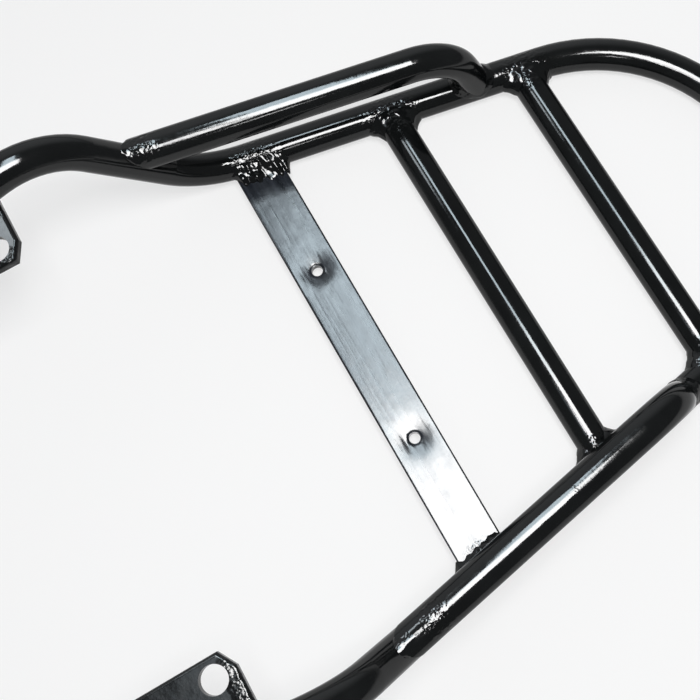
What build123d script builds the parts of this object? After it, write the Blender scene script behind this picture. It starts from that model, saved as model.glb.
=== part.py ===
from build123d import *
from math import cos, radians, sin, sqrt, tan
import os

# Luggage rack for a motorcycle: bent steel tube, coped, welded and painted.
# Millimetres and degrees. X runs forward, Y to the left and Z up. The origin is the middle of the deck
# strap, in the plane of the deck tube's axis, and the rack lies on the underside of that tube.

# Tube stock of the hoop, the grab rails and the crossbars
tube_od = 19.0
tube_wall = 1.5

# Welded joints: the root gap left at a cut end, how high a bead stands on the hoop and on the piece that
# is welded to it, how far the bead of a flat-cut end laps over the cut's edge, and the hair between a bead
# and the tube that it goes round. A crossbar's bead starts beside the hoop's axis and stops above the
# underside
root_gap = 0.2
bead_leg = 2.6
bead_rise = 2.9
bead_lap = 0.4
bead_clearance = 0.05
bead_start = 4.0
bead_lift = 2.0

# Deck hoop: its width is between the leg axes at the strap, and its legs close in to the rear, where
# one arc joins them
deck_width = 277.0
leg_taper = 10.9
rear_radius = 106.0

# Front legs: each rises from the deck at a corner, then runs level towards the front end
rise_corner_x = 30.4
rise_height = 84.0
rise_angle = 52.7
lower_bend_radius = 52.0
upper_bend_radius = 50.0
front_run = 105.0
front_toe_in = 10.0

# Grab rails: the height is between the rail's axis and the deck's, the foot angle is to the deck
rail_height = 45.0
rail_corner_x = -123.0
rail_bend_radius = 33.0
rail_foot_angle = 69.5

# Crossbars
bar_front_x = -84.0
bar_rear_x = -166.5

# Deck strap and its two dimpled holes: the depth is at the hole's edge
strap_width = 28.0
strap_thickness = 4.0
strap_edge_radius = 1.0
strap_hole_pitch = 113.0
strap_hole_d = 6.4
dimple_d = 18.0
dimple_depth = 1.3

# Mount plates: the drop is from the leg's axis to the plate's upper face, and the width is measured along
# the rear edge from the leg's axis
plate_thickness = 5.0
plate_edge_radius = 2.0
plate_drop = 3.0
plate_rear_x = 124.0
plate_length = 60.0
plate_width = 42.73
plate_corner_x = 5.5
plate_corner_y = 9.7
plate_hole_d = 14.0
plate_hole_from_rear = 12.0
plate_hole_from_inner = 10.5

tube_r = tube_od / 2
bore_r = tube_r - tube_wall
cope_r = tube_r + root_gap
hoop_bead_r = tube_r + bead_leg
piece_bead_r = tube_r + bead_rise
front_bead_r = sqrt(cope_r**2 + tube_r**2) + bead_lap
bead_seat_r = tube_r + bead_clearance
taper_slope = tan(radians(leg_taper))
taper_cos = cos(radians(leg_taper))
taper_sin = sin(radians(leg_taper))
rise_cos = cos(radians(rise_angle))
rise_sin = sin(radians(rise_angle))
rear_centre_x = (rear_radius / taper_cos - deck_width / 2) / taper_slope
rear_arc_x = rear_centre_x - rear_radius * taper_sin

os.makedirs("parts", exist_ok=True)


def hoop_point(x, z=0.0):
    """Point on or over the left half of the deck hoop's axis: the leg, or the rear arc behind it."""
    if x > rear_arc_x:
        return Vector(x, deck_width / 2 + x * taper_slope, z)
    return Vector(x, sqrt(rear_radius**2 - (x - rear_centre_x) ** 2), z)


def opposite(point):
    """The same point on the right-hand side."""
    return Vector(point.X, -point.Y, point.Z)


def run_along_leg(height, angle):
    """How far along X a tube travels in the leg's upright plane while it climbs by height at angle."""
    return height / tan(radians(angle)) * taper_cos


def front_leg_y(x):
    """Distance of a level front leg's axis from the centre plane."""
    return front_corner.Y - (x - front_corner.X) * tan(radians(front_toe_in))


def swept_round(path, radius, bore=0.0):
    """Round bar, or a tube where it has a bore, along a path of straight runs and bends."""
    with BuildPart() as swept:
        with BuildSketch(Plane(path @ 0, z_dir=path % 0)):
            Circle(radius)
            if bore:
                Circle(bore, mode=Mode.SUBTRACT)
        sweep(path=path)
    return swept.part


def write(piece, node):
    """Labels a finished piece and writes its file."""
    piece.label = node
    export_step(piece, f"parts/{node}.step")


def write_pair(piece, node):
    """Writes a left-hand piece and its mirror image on the right."""
    write(piece, f"{node}_left")
    write(mirror(piece, about=Plane.XZ), f"{node}_right")


# Deck hoop: one tube from the left front end round the rear to the right front end
rise_corner = hoop_point(rise_corner_x)
front_corner = hoop_point(rise_corner_x + run_along_leg(rise_height, rise_angle), rise_height)
front_heading = Vector(cos(radians(front_toe_in)), -sin(radians(front_toe_in)), 0)
front_end = front_corner + front_heading * front_run
leg_lines_meet = Vector(-deck_width / 2 / taper_slope, 0, 0)
with BuildLine() as hoop_line:
    FilletPolyline(
        front_end,
        front_corner,
        rise_corner,
        leg_lines_meet,
        opposite(rise_corner),
        opposite(front_corner),
        opposite(front_end),
        radius=[upper_bend_radius, lower_bend_radius, rear_radius, lower_bend_radius, upper_bend_radius],
    )
hoop_path = hoop_line.wire()
hoop_bar = swept_round(hoop_path, tube_r)
hoop_cope = swept_round(hoop_path, cope_r)
hoop_bead = swept_round(hoop_path, hoop_bead_r)
write(swept_round(hoop_path, tube_r, bore_r), "hoop_tube")

# Grab rails: the front end is cut flat along the back of the rising leg and the foot is coped to the deck
rail_front_x = rise_corner_x + run_along_leg(rail_height, rise_angle)
rail_foot_x = rail_corner_x - run_along_leg(rail_height, rail_foot_angle)
with BuildLine() as rail_line:
    FilletPolyline(
        hoop_point(rail_front_x, rail_height),
        hoop_point(rail_corner_x, rail_height),
        hoop_point(rail_foot_x),
        radius=rail_bend_radius,
    )
rail_path = rail_line.wire()
rail_cope = swept_round(rail_path, cope_r)
leg_back = Vector(-rise_sin * taper_cos, -rise_sin * taper_sin, rise_cos)
rail_cut = Plane(rail_path @ 0 + leg_back * cope_r, z_dir=leg_back)
with BuildPart() as grab_rail:
    add(swept_round(rail_path, tube_r, bore_r))
    split(bisect_by=rail_cut, keep=Keep.TOP)
    add(hoop_cope, mode=Mode.SUBTRACT)
write_pair(grab_rail.part, "grab_rail")

# A bead runs round each end of a grab rail. The front one fills the open sides of the flat cut as well
with BuildPart() as rail_bar:
    add(swept_round(rail_path, bead_seat_r))
    split(bisect_by=rail_cut.offset(-bead_clearance), keep=Keep.TOP)
rail_ends = {
    "front": (Plane(rail_path @ 0, z_dir=rail_path % 0), swept_round(hoop_path, front_bead_r)),
    "foot": (Plane(rail_path @ 1, z_dir=-(rail_path % 1)), hoop_bead),
}
for place, (end_plane, hoop_reach) in rail_ends.items():
    with BuildPart() as rail_weld:
        with BuildSketch(end_plane.offset(-bead_rise)):
            Circle(piece_bead_r)
        extrude(amount=3 * piece_bead_r)
        add(hoop_reach, mode=Mode.INTERSECT)
        add(hoop_bar, mode=Mode.SUBTRACT)
        add(rail_bar.part, mode=Mode.SUBTRACT)
    write_pair(rail_weld.part, f"weld_rail_{place}")

# Crossbars: straight tubes across the hoop, coped to it and to any rail's foot in their way. The bead round
# each end stops short of the underside, which the rack lies on, and at a rail's bead
for place, bar_x in {"front": bar_front_x, "rear": bar_rear_x}.items():
    bar_end = hoop_point(bar_x)
    bar_path = Edge.make_line(opposite(bar_end), bar_end)
    bar_round = swept_round(bar_path, bead_seat_r)
    with BuildPart() as crossbar:
        add(swept_round(bar_path, tube_r, bore_r))
        add(hoop_cope, mode=Mode.SUBTRACT)
        add(rail_cope, mode=Mode.SUBTRACT)
        add(mirror(rail_cope, about=Plane.XZ), mode=Mode.SUBTRACT)
    write(crossbar.part, f"crossbar_{place}")

    with BuildPart() as bar_weld:
        inward = Plane(bar_end, x_dir=(1, 0, 0), z_dir=(0, -1, 0))
        with BuildSketch(inward.offset(bead_start)):
            Circle(piece_bead_r)
            with Locations((0, bead_lift - tube_r)):
                Rectangle(
                    2 * piece_bead_r, 2 * piece_bead_r, align=(Align.CENTER, Align.MIN), mode=Mode.INTERSECT
                )
        extrude(amount=2 * piece_bead_r)
        add(hoop_bead, mode=Mode.INTERSECT)
        add(hoop_bar, mode=Mode.SUBTRACT)
        add(bar_round, mode=Mode.SUBTRACT)
        add(rail_weld.part, mode=Mode.SUBTRACT)
    write_pair(bar_weld.part, f"weld_crossbar_{place}")

# Deck strap: flat bar with rolled edges between the deck legs, dished round each hole by the press that
# pierced it
strap_top = strap_thickness / 2
dimple_r = dimple_d / 2
strap_hole_r = strap_hole_d / 2
with BuildPart() as deck_strap:
    with BuildSketch(Plane.XZ):
        RectangleRounded(strap_width, strap_thickness, strap_edge_radius)
    extrude(amount=deck_width / 2, both=True)
    add(hoop_cope, mode=Mode.SUBTRACT)
    for hole_y in (-strap_hole_pitch / 2, strap_hole_pitch / 2):
        for face_z, dish_mode in ((-strap_top, Mode.ADD), (strap_top, Mode.SUBTRACT)):
            dish_z = face_z - dimple_depth
            with BuildSketch(Plane((0, hole_y, 0), x_dir=(1, 0, 0), z_dir=(0, -1, 0))):
                with BuildLine():
                    TangentArc((dimple_r, face_z), (strap_hole_r, dish_z), tangent=(-1, 0))
                    Polyline((strap_hole_r, dish_z), (0, dish_z), (0, face_z), (dimple_r, face_z))
                make_face()
            revolve(axis=Axis((0, hole_y, 0), (0, 0, 1)), mode=dish_mode)
        with BuildSketch(Plane((0, hole_y, strap_top))):
            Circle(strap_hole_r)
        extrude(amount=-strap_thickness - dimple_depth, mode=Mode.SUBTRACT)
write(deck_strap.part, "deck_strap")

# A bead lies over each end of the strap, where it butts on the hoop
with BuildPart() as strap_weld:
    with BuildSketch(Plane((0, deck_width / 2 - hoop_bead_r, strap_top))):
        Rectangle(strap_width, 2 * hoop_bead_r)
    extrude(amount=bead_rise)
    add(hoop_bead, mode=Mode.INTERSECT)
    add(hoop_bar, mode=Mode.SUBTRACT)
write_pair(strap_weld.part, "weld_strap")

# Mount plates: level plates on the inner sides of the front legs, with both inner corners cut off and the
# upper edges rounded
plate_front_x = plate_rear_x + plate_length
plate_top = rise_height - plate_drop
plate_inner_y = front_leg_y(plate_rear_x) - plate_width
plate_hole = (plate_rear_x + plate_hole_from_rear, plate_inner_y + plate_hole_from_inner)
with BuildPart() as mount_plate:
    with BuildSketch(Plane.XY.offset(plate_top - plate_thickness)):
        with BuildLine():
            Polyline(
                (plate_rear_x, front_leg_y(plate_rear_x)),
                (plate_rear_x, plate_inner_y + plate_corner_y),
                (plate_rear_x + plate_corner_x, plate_inner_y),
                (plate_front_x - plate_corner_x, plate_inner_y),
                (plate_front_x, plate_inner_y + plate_corner_y),
                (plate_front_x, front_leg_y(plate_front_x)),
                close=True,
            )
        make_face()
        with Locations(plate_hole):
            Circle(plate_hole_d / 2, mode=Mode.SUBTRACT)
    extrude(amount=plate_thickness)
    fillet(mount_plate.faces().sort_by(Axis.Z)[-1].outer_wire().edges(), plate_edge_radius)
    add(hoop_cope, mode=Mode.SUBTRACT)
write_pair(mount_plate.part, "mount_plate")

# A bead runs along the flat of each plate's upper face, in the corner with the leg
bead_rear_x = plate_rear_x + plate_edge_radius
bead_front_x = plate_front_x - plate_edge_radius
with BuildPart() as plate_weld:
    with BuildSketch(Plane.XY.offset(plate_top)):
        with BuildLine():
            Polyline(
                (bead_rear_x, front_leg_y(bead_rear_x)),
                (bead_rear_x, plate_inner_y),
                (bead_front_x, plate_inner_y),
                (bead_front_x, front_leg_y(bead_front_x)),
                close=True,
            )
        make_face()
    extrude(amount=bead_rise)
    add(hoop_bead, mode=Mode.INTERSECT)
    add(hoop_bar, mode=Mode.SUBTRACT)
write_pair(plate_weld.part, "weld_plate")
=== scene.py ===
import bmesh
import bpy
import math
import numpy as np
from mathutils import Euler, Matrix, Vector, noise


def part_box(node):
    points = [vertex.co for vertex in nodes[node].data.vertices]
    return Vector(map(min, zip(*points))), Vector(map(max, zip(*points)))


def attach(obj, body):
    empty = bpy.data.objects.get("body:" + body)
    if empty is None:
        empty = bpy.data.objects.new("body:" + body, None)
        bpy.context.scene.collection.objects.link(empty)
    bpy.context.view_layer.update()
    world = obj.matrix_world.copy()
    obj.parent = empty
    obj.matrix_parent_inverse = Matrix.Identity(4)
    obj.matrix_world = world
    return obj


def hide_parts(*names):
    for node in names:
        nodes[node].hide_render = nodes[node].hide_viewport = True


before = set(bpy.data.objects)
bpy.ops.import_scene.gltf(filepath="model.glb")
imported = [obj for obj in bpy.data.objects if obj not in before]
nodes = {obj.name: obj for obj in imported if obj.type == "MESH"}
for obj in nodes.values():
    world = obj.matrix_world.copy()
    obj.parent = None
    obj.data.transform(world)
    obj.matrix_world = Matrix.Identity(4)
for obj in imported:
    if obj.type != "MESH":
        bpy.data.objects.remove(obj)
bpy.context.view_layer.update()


# Deck hoop: one steel tube, bent into the deck's outline and the two raised front legs, with open ends.
# It is sprayed in thick gloss black, so the paint has a soft orange peel and slow ripples, and near the
# welds it lies over drops of spatter.

def spatter_near(tree, place, welds, reach):
    """Bump of the drops that welding leaves on the steel: full at each weld, none at reach from it."""
    nearest = None
    for weld in welds:
        span = tree.nodes.new("ShaderNodeVectorMath")
        span.operation = "DISTANCE"
        span.inputs[1].default_value = weld
        tree.links.new(place.outputs["Object"], span.inputs[0])
        if nearest is None:
            nearest = span.outputs["Value"]
        else:
            closer = tree.nodes.new("ShaderNodeMath")
            closer.operation = "MINIMUM"
            tree.links.new(nearest, closer.inputs[0])
            tree.links.new(span.outputs["Value"], closer.inputs[1])
            nearest = closer.outputs["Value"]
    amount = tree.nodes.new("ShaderNodeMapRange")
    amount.interpolation_type = "SMOOTHSTEP"
    amount.inputs["From Min"].default_value = 0.4 * reach
    amount.inputs["From Max"].default_value = reach
    amount.inputs["To Min"].default_value = 1.0
    amount.inputs["To Max"].default_value = 0.0
    tree.links.new(nearest, amount.inputs["Value"])
    drops = tree.nodes.new("ShaderNodeTexNoise")
    drops.inputs["Scale"].default_value = 430.0
    drops.inputs["Detail"].default_value = 1.0
    tree.links.new(place.outputs["Object"], drops.inputs["Vector"])
    height = tree.nodes.new("ShaderNodeMath")
    height.operation = "MULTIPLY"
    tree.links.new(drops.outputs["Fac"], height.inputs[0])
    tree.links.new(amount.outputs["Result"], height.inputs[1])
    bump = tree.nodes.new("ShaderNodeBump")
    bump.inputs["Strength"].default_value = 0.5
    bump.inputs["Distance"].default_value = 0.0011
    tree.links.new(height.outputs["Value"], bump.inputs["Height"])
    return bump


def gloss_black(name, peel=1.0, dust=0.0, welds=(), reach=0.0):
    """Sprayed gloss black: near-black pigment under a wet-looking skin that ripples a little."""
    paint = bpy.data.materials.new(name)
    paint.use_nodes = True
    tree = paint.node_tree
    add = tree.nodes.new
    link = tree.links.new
    skin = tree.nodes["Principled BSDF"]
    skin.inputs["IOR"].default_value = 1.42
    place = add("ShaderNodeTexCoord")
    # Painted shade on the rims: the gloss weakens towards the silhouette, so the edges reflect the floor
    # more darkly than real paint would.
    edge_on = add("ShaderNodeLayerWeight")
    gloss = add("ShaderNodeMapRange")
    gloss.inputs["From Min"].default_value = 0.25
    gloss.inputs["From Max"].default_value = 0.62
    gloss.inputs["To Min"].default_value = 0.5
    gloss.inputs["To Max"].default_value = 0.12
    link(edge_on.outputs["Facing"], gloss.inputs["Value"])
    link(gloss.outputs["Result"], skin.inputs["Specular IOR Level"])

    cloud = add("ShaderNodeTexNoise")
    cloud.inputs["Scale"].default_value = 38.0
    cloud.inputs["Detail"].default_value = 4.0
    link(place.outputs["Object"], cloud.inputs["Vector"])
    pigment = add("ShaderNodeValToRGB")
    pigment.color_ramp.elements[0].position = 0.3
    pigment.color_ramp.elements[0].color = (0.0035, 0.0040, 0.0042, 1)
    pigment.color_ramp.elements[1].position = 0.75
    pigment.color_ramp.elements[1].color = (0.0075, 0.0085, 0.0087, 1)
    link(cloud.outputs["Fac"], pigment.inputs["Fac"])
    link(pigment.outputs["Color"], skin.inputs["Base Color"])

    haze = add("ShaderNodeTexNoise")
    haze.inputs["Scale"].default_value = 160.0
    haze.inputs["Detail"].default_value = 5.0
    link(place.outputs["Object"], haze.inputs["Vector"])
    sheen = add("ShaderNodeMapRange")
    sheen.inputs["From Min"].default_value = 0.3
    sheen.inputs["From Max"].default_value = 0.75
    sheen.inputs["To Min"].default_value = 0.07 + dust
    sheen.inputs["To Max"].default_value = 0.15 + dust
    link(haze.outputs["Fac"], sheen.inputs["Value"])
    link(sheen.outputs["Result"], skin.inputs["Roughness"])

    orange_peel = add("ShaderNodeTexNoise")
    orange_peel.inputs["Scale"].default_value = 420.0
    orange_peel.inputs["Detail"].default_value = 2.0
    link(place.outputs["Object"], orange_peel.inputs["Vector"])
    ripple = add("ShaderNodeTexNoise")
    ripple.inputs["Scale"].default_value = 90.0
    ripple.inputs["Detail"].default_value = 1.0
    link(place.outputs["Object"], ripple.inputs["Vector"])
    fine = add("ShaderNodeBump")
    fine.inputs["Strength"].default_value = 0.035 * peel
    fine.inputs["Distance"].default_value = 0.0006
    link(orange_peel.outputs["Fac"], fine.inputs["Height"])
    slow = add("ShaderNodeBump")
    slow.inputs["Strength"].default_value = 0.05 * peel
    slow.inputs["Distance"].default_value = 0.0012
    link(ripple.outputs["Fac"], slow.inputs["Height"])
    link(fine.outputs["Normal"], slow.inputs["Normal"])
    link(slow.outputs["Normal"], skin.inputs["Normal"])
    if welds:
        spatter = spatter_near(tree, place, welds, reach)
        link(slow.outputs["Normal"], spatter.inputs["Normal"])
        link(spatter.outputs["Normal"], skin.inputs["Normal"])
    return paint


def paint_node(node, paint):
    """Gives one solid of the frame its finish."""
    nodes[node].data.materials.clear()
    nodes[node].data.materials.append(paint)


leg_taper = math.radians(10.9)
deck_half = 0.1385


def over_leg(x, z, hand):
    """Point over a deck leg's axis. hand is 1 on the left and -1 on the right."""
    return np.array([x, hand * (deck_half + x * math.tan(leg_taper)), z])


def both_sides(x, z, inset=0.0):
    """The same spot by the left and the right leg, inset from the leg's axis towards the middle."""
    return [over_leg(x, z, hand) - np.array([0.0, hand * inset, 0.0]) for hand in (1, -1)]


bar_xs = {"front": -0.084, "rear": -0.1665}
weld_z = 0.006
weld_inset = 0.008
strap_ends = both_sides(0.0, weld_z, weld_inset)
bar_ends = both_sides(bar_xs["front"], weld_z, weld_inset) + both_sides(bar_xs["rear"], weld_z, weld_inset)
right_bar_ends = bar_ends[1::2]
hoop_paint = gloss_black("hoop_black_gloss", welds=strap_ends + right_bar_ends, reach=0.022)
paint_node("hoop_tube", hoop_paint)


# Grab rails: a shorter tube of the same stock above each deck leg. Its front end is cut flat along the back
# of the rising leg and its foot is fish-mouthed on the deck leg. Same paint, a little rougher, with spatter
# behind the front welds and one stray patch on the left rail.

rail_specks = [over_leg(0.037, 0.050, 1), over_leg(0.050, 0.050, -1), over_leg(-0.052, 0.064, 1)]
rail_paint = gloss_black("grab_rail_black_gloss", peel=1.2, welds=rail_specks, reach=0.0125)
paint_node("grab_rail_left", rail_paint)
paint_node("grab_rail_right", rail_paint)


# Crossbars: two straight tubes of the same stock between the deck legs, fish-mouthed at both ends and
# welded there. Their paint is the smoothest, with spatter only at the very ends.

crossbar_paint = gloss_black("crossbar_black_gloss", peel=0.8, welds=bar_ends, reach=0.013)
paint_node("crossbar_front", crossbar_paint)
paint_node("crossbar_rear", crossbar_paint)


# Deck strap: flat bar sheared to length and pressed round its two holes. Its paint is thinner than the
# tubes', so the rolled bar's lengthwise marks show and it reflects in a broad blue-grey sheen.

def rolled_strap_black():
    """Thin semi-gloss black over hot-rolled bar, with streaks along its length."""
    paint = bpy.data.materials.new("strap_black_satin")
    paint.use_nodes = True
    tree = paint.node_tree
    add = tree.nodes.new
    link = tree.links.new
    skin = tree.nodes["Principled BSDF"]
    skin.inputs["IOR"].default_value = 1.45
    place = add("ShaderNodeTexCoord")
    along = add("ShaderNodeMapping")
    along.inputs["Scale"].default_value = (420.0, 14.0, 420.0)
    link(place.outputs["Object"], along.inputs["Vector"])
    streak = add("ShaderNodeTexNoise")
    streak.inputs["Scale"].default_value = 1.0
    streak.inputs["Detail"].default_value = 5.0
    link(along.outputs["Vector"], streak.inputs["Vector"])
    blotch = add("ShaderNodeTexNoise")
    blotch.inputs["Scale"].default_value = 170.0
    blotch.inputs["Detail"].default_value = 6.0
    link(place.outputs["Object"], blotch.inputs["Vector"])

    pigment = add("ShaderNodeValToRGB")
    pigment.color_ramp.elements[0].position = 0.3
    pigment.color_ramp.elements[0].color = (0.006, 0.008, 0.011, 1)
    pigment.color_ramp.elements[1].position = 0.72
    pigment.color_ramp.elements[1].color = (0.018, 0.021, 0.029, 1)
    link(streak.outputs["Fac"], pigment.inputs["Fac"])
    link(pigment.outputs["Color"], skin.inputs["Base Color"])

    worn = add("ShaderNodeMath")
    worn.operation = "ADD"
    link(streak.outputs["Fac"], worn.inputs[0])
    link(blotch.outputs["Fac"], worn.inputs[1])
    sheen = add("ShaderNodeMapRange")
    sheen.inputs["From Min"].default_value = 0.7
    sheen.inputs["From Max"].default_value = 1.35
    sheen.inputs["To Min"].default_value = 0.14
    sheen.inputs["To Max"].default_value = 0.25
    link(worn.outputs["Value"], sheen.inputs["Value"])
    link(sheen.outputs["Result"], skin.inputs["Roughness"])

    rolled = add("ShaderNodeBump")
    rolled.inputs["Strength"].default_value = 0.20
    rolled.inputs["Distance"].default_value = 0.0004
    link(worn.outputs["Value"], rolled.inputs["Height"])
    spatter = spatter_near(tree, place, strap_ends, 0.013)
    link(rolled.outputs["Normal"], spatter.inputs["Normal"])
    link(spatter.outputs["Normal"], skin.inputs["Normal"])
    return paint


strap_half = 0.014
strap_top = 0.002
strap_edge_r = 0.001
strap_hole_r = 0.0032
strap_hole_ys = (-0.0565, 0.0565)
strap_flat = strap_half - strap_edge_r
strap_butt = 0.0099
strap_wave = 0.00006
press_depth = 0.0012
press_reach = 0.0086
lip_depth = 0.0004
lip_reach = 0.0009


def strap_sink(x, y):
    """How far the strap's faces lie below their flat height: a press mark and a lip at each hole."""
    sink = strap_wave * noise.noise(Vector((x * 60.0, y * 14.0, 0.3)))
    for hole_y in strap_hole_ys:
        reach = math.hypot(x, y - hole_y)
        ragged = 1.0 + 0.09 * noise.noise(Vector((x * 420.0, y * 110.0, 2.0)))
        sink += press_depth * ragged * math.exp(-((reach / press_reach) ** 2))
        sink += lip_depth * math.exp(-((max(reach - strap_hole_r, 0.0) / lip_reach) ** 2))
    return sink


def strap_end_y(x, hand):
    """Where the strap's end meets the hoop, at a distance x from its centre line."""
    return hand * (deck_half + x * math.tan(leg_taper) - strap_butt)


def hang(piece, node):
    """Fixes a piece of the scene to the rack in place of one of the frame's solids."""
    bpy.context.scene.collection.objects.link(piece)
    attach(piece, "root")
    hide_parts(node)


def strap_mesh():
    """The strap: flat faces with press marks, round holes, rolled long edges and square ends."""
    shell = bmesh.new()
    across = 52
    rings_out = 40
    ring_spread = 1.7
    end_steps = 80
    middle_steps = 100
    seam = 1e-7
    xs = np.linspace(-strap_flat, strap_flat, across + 1)
    half_patch = strap_flat

    def corner(x, y, face):
        return shell.verts.new((x, y, face * strap_top - strap_sink(x, y)))

    def quad(a, b, c, d, face):
        shell.faces.new((a, b, c, d) if face > 0 else (d, c, b, a))

    near_hole, far_hole = strap_hole_ys[1], strap_hole_ys[0]
    bays = (
        (lambda x: strap_end_y(x, -1), lambda x: far_hole - half_patch, end_steps),
        (lambda x: far_hole + half_patch, lambda x: near_hole - half_patch, middle_steps),
        (lambda x: near_hole + half_patch, lambda x: strap_end_y(x, 1), end_steps),
    )
    rims = {}
    for face in (1, -1):
        for begin, finish, steps in bays:
            rows = []
            for k in range(steps + 1):
                share = k / steps
                rows.append([corner(x, begin(x) * (1 - share) + finish(x) * share, face) for x in xs])
            for lower, upper in zip(rows, rows[1:]):
                for i in range(across):
                    quad(lower[i], lower[i + 1], upper[i + 1], upper[i], face)
        for hole_y in strap_hole_ys:
            frame_line = [(x, -half_patch) for x in xs[:-1]] + [(half_patch, x) for x in xs[:-1]]
            frame_line += [(-x, half_patch) for x in xs[:-1]] + [(-half_patch, -x) for x in xs[:-1]]
            rings = []
            for k in range(rings_out + 1):
                share = (k / rings_out) ** ring_spread
                ring = []
                for x, y in frame_line:
                    away = math.hypot(x, y)
                    scale = strap_hole_r / away * (1 - share) + share
                    ring.append(corner(x * scale, hole_y + y * scale, face))
                rings.append(ring)
            rims[face, hole_y] = rings[0]
            for inner, outer in zip(rings, rings[1:]):
                for i in range(len(inner)):
                    beside = (i + 1) % len(inner)
                    quad(inner[i], outer[i], outer[beside], inner[beside], face)
    for hole_y in strap_hole_ys:
        over, under = rims[1, hole_y], rims[-1, hole_y]
        for i in range(len(over)):
            beside = (i + 1) % len(over)
            shell.faces.new((over[i], over[beside], under[beside], under[i]))
    bmesh.ops.remove_doubles(shell, verts=shell.verts, dist=seam)

    for edge in (1, -1):
        on_edge = [v for v in shell.verts if abs(v.co.x - edge * strap_flat) < seam]
        on_edge.sort(key=lambda v: v.co.y)
        upper = [v for v in on_edge if v.co.z > 0]
        lower = [v for v in on_edge if v.co.z < 0]
        turns = np.linspace(0.0, math.pi / 2, num=7)
        columns = []
        for top_vert, low_vert in zip(upper, lower):
            y = top_vert.co.y
            sink = strap_top - top_vert.co.z
            column = [top_vert]
            for face, face_turns in ((1, turns[1:]), (-1, turns[:0:-1])):
                for turn in face_turns:
                    x = edge * (strap_flat + strap_edge_r * math.sin(turn))
                    z = face * (strap_top - strap_edge_r * (1 - math.cos(turn))) - sink
                    column.append(shell.verts.new((x, y, z)))
            columns.append(column + [low_vert])
        for first, second in zip(columns, columns[1:]):
            for i in range(len(first) - 1):
                quad(first[i], first[i + 1], second[i + 1], second[i], edge)
    bmesh.ops.holes_fill(shell, edges=[e for e in shell.edges if e.is_boundary])
    bmesh.ops.recalc_face_normals(shell, faces=shell.faces)
    mesh = bpy.data.meshes.new("strap_bar")
    shell.to_mesh(mesh)
    shell.free()
    mesh.shade_smooth()
    mesh.set_sharp_from_angle(angle=math.radians(45.0))
    return mesh


strap_bar = bpy.data.objects.new("strap_bar", strap_mesh())
strap_bar.data.materials.append(rolled_strap_black())
hang(strap_bar, "deck_strap")


# Mount plates: flat steel sheared to shape, one large hole each, welded inside the front legs. Their paint
# is duller and rougher than the tubes', with drops of it along the rear edge of the left plate and at two
# corners of the right one.

plate_rear_x = 0.127
plate_face_z = 0.081
plate_drops = [(plate_rear_x, y, plate_face_z) for y in (0.141, 0.136, 0.131, 0.126, 0.121, 0.116)]
plate_drops += [(0.132, -0.112, plate_face_z), (plate_rear_x, -0.138, plate_face_z)]
plate_paint = gloss_black("plate_black_gloss", peel=2.0, dust=0.05, welds=plate_drops, reach=0.0062)
paint_node("mount_plate_left", plate_paint)
paint_node("mount_plate_right", plate_paint)


# Weld beads of the grab rails: a hand-run fillet goes round each end, flat-cut or fish-mouthed, and washes
# out on both tubes. The welder stopped and started often, so it is lumpy, and thick paint lies over it in
# drops. At the left front it runs furthest back along the rail.

tube_r = 0.0095
rise_angle = math.radians(52.7)
rise_corner_x = 0.0304
rail_height = 0.045
rail_corner_x = -0.123
foot_angle = math.radians(69.5)
weld_paint = gloss_black("weld_black_gloss", peel=2.5)
skin_steps = 14
stations = 150
crown = 0.0002
toe_depth = 0.0007
flank_depth = 0.0016
root_depth = 0.0022
cut_depth = 0.0018
leg_wrap = math.radians(50.0)
all_round = -1.0
fade_height = 0.005
bare_gap = 0.006


def unit(vector):
    """The vector at length 1."""
    return vector / max(np.linalg.norm(vector), 1e-9)


def lumpy(point, seed):
    """How far the bead's skin stands out at a point: slow swells, drops of weld and small bubbles."""
    spot = Vector(point) + Vector((seed, 0.7 * seed, 0.3 * seed))
    swell = noise.noise(spot * 120.0)
    drops = noise.noise(spot * 250.0)
    bubbles = noise.noise(spot * 560.0)
    return 0.6 * swell + 0.8 * max(drops, -0.3) + 0.16 * bubbles


def wavering(point, seed):
    """How much longer or shorter the bead's legs are at a point than their mean, as a factor."""
    return 1.0 + 0.3 * noise.noise(Vector(point) * 170.0 + Vector((seed, 0, 0)))


def bead_section(corner, on_piece, on_hoop, out, hollow, lump, seed):
    """One cross-section of a bead: from its toe on the piece, across the corner, to its toe on the hoop."""
    middle = corner * (1.0 - hollow) + (on_piece + on_hoop) * 0.5 * hollow
    row = []
    for k in range(skin_steps + 1):
        t = k / skin_steps
        skin = (1 - t) ** 2 * on_piece + 2 * t * (1 - t) * middle + t * t * on_hoop
        belly = math.sin(math.pi * t)
        height = lump * lumpy(skin, seed) * belly**0.7 + crown * belly - toe_depth * (1 - belly) ** 2
        row.append(skin + out * height)
    row.append(on_hoop * 0.6 + corner * 0.4 - out * flank_depth)
    row.append(corner - out * root_depth)
    row.append(on_piece * 0.6 + corner * 0.4 - out * flank_depth)
    return row


def bead_object(name, rows, closed, node):
    """Joins the cross-sections of a bead into one closed skin and hangs it on the frame."""
    around = len(rows[0])
    faces = []
    for i in range(len(rows) if closed else len(rows) - 1):
        here = i * around
        there = (i + 1) % len(rows) * around
        for j in range(around):
            beside = (j + 1) % around
            faces.append((here + j, there + j, there + beside, here + beside))
    if not closed:
        last = (len(rows) - 1) * around
        faces.append(tuple(reversed(range(around))))
        faces.append(tuple(range(last, last + around)))
    mesh = bpy.data.meshes.new(name)
    mesh.from_pydata([tuple(point) for row in rows for point in row], [], faces)
    mesh.update()
    shell = bmesh.new()
    shell.from_mesh(mesh)
    bmesh.ops.recalc_face_normals(shell, faces=shell.faces)
    shell.to_mesh(mesh)
    shell.free()
    mesh.shade_smooth()
    mesh.materials.append(weld_paint)
    hang(bpy.data.objects.new(name, mesh), node)


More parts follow.
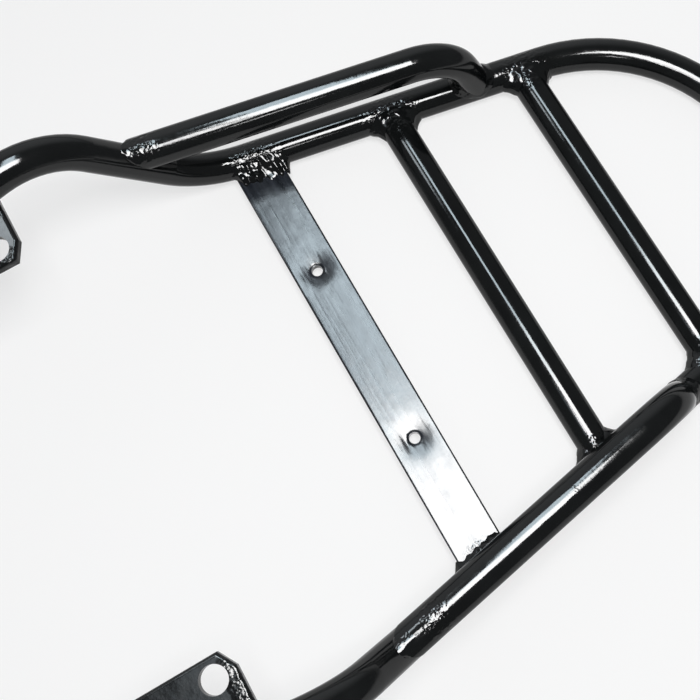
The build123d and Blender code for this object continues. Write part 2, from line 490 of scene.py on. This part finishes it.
def tube_bead(name, node, start, run, leg_start, leg_run, legs, lump, seed, lowest=all_round):
    """The fillet where a tube that starts on a leg's axis comes out of that leg, laid only above lowest."""
    side = unit(np.cross(run, leg_run))
    top = np.cross(side, run)
    along = run - run.dot(leg_run) * leg_run
    rows = []
    for i in range(stations):
        turn = -math.pi + 2 * math.pi * i / stations
        radial = math.cos(turn) * top + math.sin(turn) * side
        reach = start + tube_r * radial - leg_start
        reach = reach - reach.dot(leg_run) * leg_run
        a = along.dot(along)
        b = reach.dot(along)
        c = reach.dot(reach) - tube_r**2
        corner = start + tube_r * radial + run * ((-b + math.sqrt(max(b * b - a * c, 0.0))) / a)
        if corner[2] < lowest:
            continue
        from_leg = corner - leg_start
        from_leg = unit(from_leg - from_leg.dot(leg_run) * leg_run)
        spread = radial - radial.dot(from_leg) * from_leg
        waver = wavering(corner, seed)
        fade = 1.0
        if lowest > all_round:
            fade = min(1.0, 0.35 + (corner[2] - lowest) / fade_height)
        on_piece = corner + run * legs[0] * waver * fade
        on_hoop = corner + spread * legs[1] * waver * fade
        from_axis = on_hoop - leg_start
        along_axis = from_axis.dot(leg_run) * leg_run
        on_hoop = leg_start + along_axis + unit(from_axis - along_axis) * tube_r
        out = unit(radial + from_leg)
        rows.append(bead_section(corner, on_piece, on_hoop, out, hollow=0.45, lump=lump * fade, seed=seed))
    if lowest > all_round:
        steps_apart = [np.linalg.norm(rows[i][0] - rows[i - 1][0]) for i in range(len(rows))]
        first = next(i for i in range(len(rows)) if steps_apart[i] > bare_gap)
        rows = rows[first:] + rows[:first]
    bead_object(name, rows, lowest <= all_round, node)


def flat_cut_bead(name, node, start, run, rising, legs, lump, seed):
    """The fillet round a tube cut flat along the back of a rising leg. It fills the cut's sides too."""
    upward = np.array([0.0, 0.0, 1.0])
    side = np.cross(upward, run)
    leg_back = run * math.sin(rise_angle) + upward * math.cos(rise_angle)
    rows = []
    for i in range(stations):
        turn = -math.pi + 2 * math.pi * i / stations
        radial = math.cos(turn) * upward + math.sin(turn) * side
        to_cut = (tube_r - tube_r * leg_back.dot(radial)) / math.sin(rise_angle)
        cut_edge = start + tube_r * radial + run * to_cut
        waver = wavering(cut_edge, seed)
        on_piece = cut_edge + run * legs[0] * waver
        round_leg = leg_wrap * math.sin(turn)
        flank = math.cos(round_leg) * leg_back + math.sin(round_leg) * side
        up_leg = tube_r * (math.cos(turn) - math.cos(rise_angle)) / math.sin(rise_angle)
        on_leg = start + rising * (up_leg + legs[1] * waver * math.cos(turn)) + tube_r * flank
        corner = cut_edge - radial * cut_depth
        out = unit(radial + flank)
        rows.append(bead_section(corner, on_piece, on_leg, out, hollow=0.6, lump=lump, seed=seed))
    bead_object(name, rows, True, node)


front_legs = {"left": (0.0125, 0.0022), "right": (0.0045, 0.0022)}
foot_legs = (0.0044, 0.0048)
rail_front_x = rise_corner_x + rail_height / math.tan(rise_angle) * math.cos(leg_taper)
rail_foot_x = rail_corner_x - rail_height / math.tan(foot_angle) * math.cos(leg_taper)
for word, hand in (("left", 1), ("right", -1)):
    rearward = np.array([-math.cos(leg_taper), -hand * math.sin(leg_taper), 0.0])
    rising = -rearward * math.cos(rise_angle) + np.array([0.0, 0.0, math.sin(rise_angle)])
    climbing = -rearward * math.cos(foot_angle) + np.array([0.0, 0.0, math.sin(foot_angle)])
    front_point = over_leg(rail_front_x, rail_height, hand)
    foot_point = over_leg(rail_foot_x, 0.0, hand)
    flat_cut_bead(f"rail_front_bead_{word}", f"weld_rail_front_{word}", front_point, rearward, rising,
                  front_legs[word], lump=0.0007, seed=3.1 + 0.4 * hand)
    tube_bead(f"rail_foot_bead_{word}", f"weld_rail_foot_{word}", foot_point, climbing, foot_point,
              rearward, foot_legs, lump=0.0009, seed=7.7 + 0.4 * hand)


# Weld beads of the crossbars: each end is welded round its top and both sides, and left bare underneath,
# where the rack lies flat. The fillets are wide, so the bars seem to flare into the hoop.

bar_legs = (0.0078, 0.0076)
bare_below = -0.0068
for place, bar_x in bar_xs.items():
    for word, hand in (("left", 1), ("right", -1)):
        end = over_leg(bar_x, 0.0, hand)
        inward = np.array([0.0, -float(hand), 0.0])
        leg_run = np.array([math.cos(leg_taper), hand * math.sin(leg_taper), 0.0])
        tube_bead(f"crossbar_{place}_bead_{word}", f"weld_crossbar_{place}_{word}", end, inward, end,
                  leg_run, bar_legs, lump=0.0010, seed=11.3 + 0.9 * hand + 30 * bar_x, lowest=bare_below)


# Weld beads of the strap: the flat bar butts on the hoop, and the welder filled the corner over it with
# several short passes, up on to the tube and round the bar's two edges.

strap_cover = {"left": 0.0048, "right": 0.0094}
least_cover = 0.0003
bead_half = 0.02
edge_lap = 0.0008
wrap_length = 0.0068
wrap_drop = 0.0035
least_climb_deg = 12.0
added_climb_deg = 58.0
strap_lump = 0.0021
for word, hand in (("left", 1), ("right", -1)):
    rows = []
    for x in np.linspace(-bead_half, bead_half, num=76):
        past_edge = min(max(abs(x) - strap_half + edge_lap, 0.0) / wrap_length, 1.0)
        level = strap_top - wrap_drop * past_edge**2
        axis = over_leg(x, 0.0, hand)
        inward = np.array([hand * math.sin(leg_taper), -hand * math.cos(leg_taper), 0.0])
        waver = 1.0 + 0.35 * noise.noise(Vector((x * 330.0, hand * 2.0, 0.5)))
        flare = (1.0 - past_edge) ** 2
        corner = axis + inward * math.sqrt(tube_r**2 - level**2) + np.array([0.0, 0.0, level])
        cover = strap_cover[word] * waver * flare + least_cover
        on_strap = corner + np.array([0.0, -hand * cover, 0.0])
        climb = math.radians(least_climb_deg + added_climb_deg * waver * (0.15 + 0.85 * (1.0 - past_edge)))
        on_hoop = axis + tube_r * (inward * math.cos(climb) + np.array([0.0, 0.0, math.sin(climb)]))
        out = unit(np.array([0.0, -hand * 0.5, 0.87]))
        lump = strap_lump * (0.2 + 0.8 * flare)
        seed = 21.0 + 1.3 * hand
        rows.append(bead_section(corner, on_strap, on_hoop, out, hollow=0.9, lump=lump, seed=seed))
    bead_object(f"strap_bead_{word}", rows, False, f"weld_strap_{word}")


# Weld beads of the mount plates: one long bead in the corner between each plate's upper face and its leg,
# laid drop after drop and tapering off at both ends.

front_height = 0.084
front_corner_x = rise_corner_x + front_height / math.tan(rise_angle) * math.cos(leg_taper)
front_corner_y = deck_half + front_corner_x * math.tan(leg_taper)
toe_in = math.radians(10.0)
plate_top = -0.003
bead_rear_x = 0.1258
bead_front_x = 0.1822
end_taper = 0.003
plate_cover = 0.0042
corner_climb_deg = -18.4
bead_climb_deg = 30.0
plate_lump = 0.0009
for word, hand in (("left", 1), ("right", -1)):
    rows = []
    inward = np.array([-math.sin(toe_in), -hand * math.cos(toe_in), 0.0])
    for x in np.linspace(bead_rear_x, bead_front_x, num=90):
        leg_y = front_corner_y - (x - front_corner_x) * math.tan(toe_in)
        axis = np.array([x, hand * leg_y, front_height])
        waver = 1.0 + 0.3 * noise.noise(Vector((x * 170.0, hand * 3.0, 0.2)))
        from_end = min(x - bead_rear_x, bead_front_x - x) / end_taper
        fade = 0.3 + 0.7 * min(from_end, 1.0)
        corner = axis + inward * math.sqrt(tube_r**2 - plate_top**2) + np.array([0.0, 0.0, plate_top])
        on_plate = corner + inward * plate_cover * waver * fade
        climb = math.radians(corner_climb_deg + bead_climb_deg * waver * fade)
        on_leg = axis + tube_r * (inward * math.cos(climb) + np.array([0.0, 0.0, math.sin(climb)]))
        out = unit(inward * 0.6 + np.array([0.0, 0.0, 0.8]))
        lump = plate_lump * fade
        seed = 31.0 + 0.8 * hand
        rows.append(bead_section(corner, on_plate, on_leg, out, hollow=0.65, lump=lump, seed=seed))
    bead_object(f"plate_bead_{word}", rows, False, f"weld_plate_{word}")


# Studio: a pale floor that the rack's deck lies on, one soft panel overhead with cards round it that only
# show in the gloss, and a dim room that is lighter beyond the right-hand side. The camera looks down from
# above the left-hand side, as in the photograph.

floor_gap = 0.0002
floor_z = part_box("hoop_tube")[0].z - floor_gap
floor_half = 4.0
floor_corners = [(x * floor_half, y * floor_half, floor_z) for x, y in ((-1, -1), (1, -1), (1, 1), (-1, 1))]
floor_mesh = bpy.data.meshes.new("floor")
floor_mesh.from_pydata(floor_corners, [], [(0, 1, 2, 3)])
floor = bpy.data.objects.new("floor", floor_mesh)
bpy.context.scene.collection.objects.link(floor)

floor_white = bpy.data.materials.new("floor_white")
floor_white.use_nodes = True
tree = floor_white.node_tree
paper = tree.nodes["Principled BSDF"]
paper.inputs["Base Color"].default_value = (0.86, 0.86, 0.86, 1)
paper.inputs["Roughness"].default_value = 0.9
glow = tree.nodes.new("ShaderNodeEmission")
glow.inputs["Color"].default_value = (1.0, 1.0, 1.0, 1)
ground = tree.nodes.new("ShaderNodeTexCoord")
reach = tree.nodes.new("ShaderNodeVectorMath")
reach.operation = "LENGTH"
tree.links.new(ground.outputs["Object"], reach.inputs[0])
# Painted pool of light: the floor's glow is white round the rack and fades to grey further out, in its
# reflections too.
painted_light_pool = tree.nodes.new("ShaderNodeMapRange")
painted_light_pool.interpolation_type = "SMOOTHSTEP"
painted_light_pool.inputs["From Min"].default_value = 0.42
painted_light_pool.inputs["From Max"].default_value = 1.6
painted_light_pool.inputs["To Min"].default_value = 0.99
painted_light_pool.inputs["To Max"].default_value = 0.22
tree.links.new(reach.outputs["Value"], painted_light_pool.inputs["Value"])
tree.links.new(painted_light_pool.outputs["Result"], glow.inputs["Strength"])
seen = tree.nodes.new("ShaderNodeLightPath")
by_eye = tree.nodes.new("ShaderNodeMath")
by_eye.operation = "MAXIMUM"
tree.links.new(seen.outputs["Is Camera Ray"], by_eye.inputs[0])
tree.links.new(seen.outputs["Is Glossy Ray"], by_eye.inputs[1])
by_any = tree.nodes.new("ShaderNodeMath")
by_any.operation = "MAXIMUM"
tree.links.new(by_eye.outputs["Value"], by_any.inputs[0])
tree.links.new(seen.outputs["Is Transmission Ray"], by_any.inputs[1])
share = tree.nodes.new("ShaderNodeMath")
share.operation = "MULTIPLY"
share.inputs[1].default_value = 0.68
tree.links.new(by_any.outputs["Value"], share.inputs[0])
blend = tree.nodes.new("ShaderNodeMixShader")
tree.links.new(share.outputs["Value"], blend.inputs["Fac"])
tree.links.new(paper.outputs["BSDF"], blend.inputs[1])
tree.links.new(glow.outputs["Emission"], blend.inputs[2])
tree.links.new(blend.outputs["Shader"], tree.nodes["Material Output"].inputs["Surface"])
floor_mesh.materials.append(floor_white)

room = bpy.data.worlds.new("dim_room")
room.use_nodes = True
bpy.context.scene.world = room
tree = room.node_tree
toward = tree.nodes.new("ShaderNodeTexCoord")
axes = tree.nodes.new("ShaderNodeSeparateXYZ")
tree.links.new(toward.outputs["Generated"], axes.inputs["Vector"])
far_wall = tree.nodes.new("ShaderNodeMapRange")
far_wall.interpolation_type = "SMOOTHSTEP"
far_wall.inputs["From Min"].default_value = -0.25
far_wall.inputs["From Max"].default_value = -0.85
far_wall.inputs["To Min"].default_value = 0.16
far_wall.inputs["To Max"].default_value = 0.75
tree.links.new(axes.outputs["Y"], far_wall.inputs["Value"])
tree.nodes["Background"].inputs["Color"].default_value = (0.94, 0.97, 1.0, 1)
tree.links.new(far_wall.outputs["Result"], tree.nodes["Background"].inputs["Strength"])


def soft_panel(name, centre, size, radiance, colour=(1.0, 1.0, 1.0), only_seen=False):
    """A level panel of light over the rack. One that is only seen shows in the gloss and lights nothing."""
    light = bpy.data.lights.new(name, "AREA")
    light.shape = "RECTANGLE"
    light.size = size[0]
    light.size_y = size[1]
    light.color = colour
    light.energy = radiance * math.pi * size[0] * size[1]
    panel = bpy.data.objects.new(name, light)
    panel.location = centre
    panel.visible_diffuse = not only_seen
    bpy.context.scene.collection.objects.link(panel)


soft_panel("overhead_panel", (-0.07, 0.11, 0.9), (0.32, 0.34), 18.0)
soft_panel("overhead_card", (-0.07, 0.11, 0.89), (0.32, 0.34), 17.0, only_seen=True)
soft_panel("middle_card", (-0.05, -0.1, 0.895), (0.28, 0.08), 29.0, (0.90, 0.97, 1.0), only_seen=True)
soft_panel("front_card", (0.164, 0.145, 0.895), (0.1, 0.31), 30.0, only_seen=True)
soft_panel("plate_glow", (0.32, 0.06, 0.89), (0.12, 0.22), 2.2, (0.80, 0.92, 1.0), only_seen=True)
soft_panel("near_card", (0.16, 0.64, 0.89), (0.12, 0.1), 16.0, only_seen=True)
soft_panel("plate_card", (0.32, -0.56, 0.89), (0.22, 0.26), 11.0, (0.85, 0.94, 1.0), only_seen=True)
soft_panel("far_card", (-0.07, -0.325, 0.89), (0.18, 0.37), 18.0, (0.78, 0.92, 1.0), only_seen=True)

picture = 700.0
focal_pixels = 1000.0
axis_pixel = (448.23, 366.67)
camera_place = (0.02102, 0.14436, 0.54949)
camera_turn_deg = (13.024, 0.799, 149.675)
camera_data = bpy.data.cameras.new("camera")
camera_data.sensor_width = 36.0
camera_data.lens = camera_data.sensor_width * focal_pixels / picture
camera_data.shift_x = (picture / 2 - axis_pixel[0]) / picture
camera_data.shift_y = (axis_pixel[1] - picture / 2) / picture
camera_data.clip_start = 0.01
camera = bpy.data.objects.new("camera", camera_data)
camera_turn = Euler([math.radians(angle) for angle in camera_turn_deg])
camera.matrix_world = Matrix.LocRotScale(Vector(camera_place), camera_turn, None)
bpy.context.scene.collection.objects.link(camera)
bpy.context.scene.camera = camera
bpy.context.scene.view_settings.view_transform = "Standard"
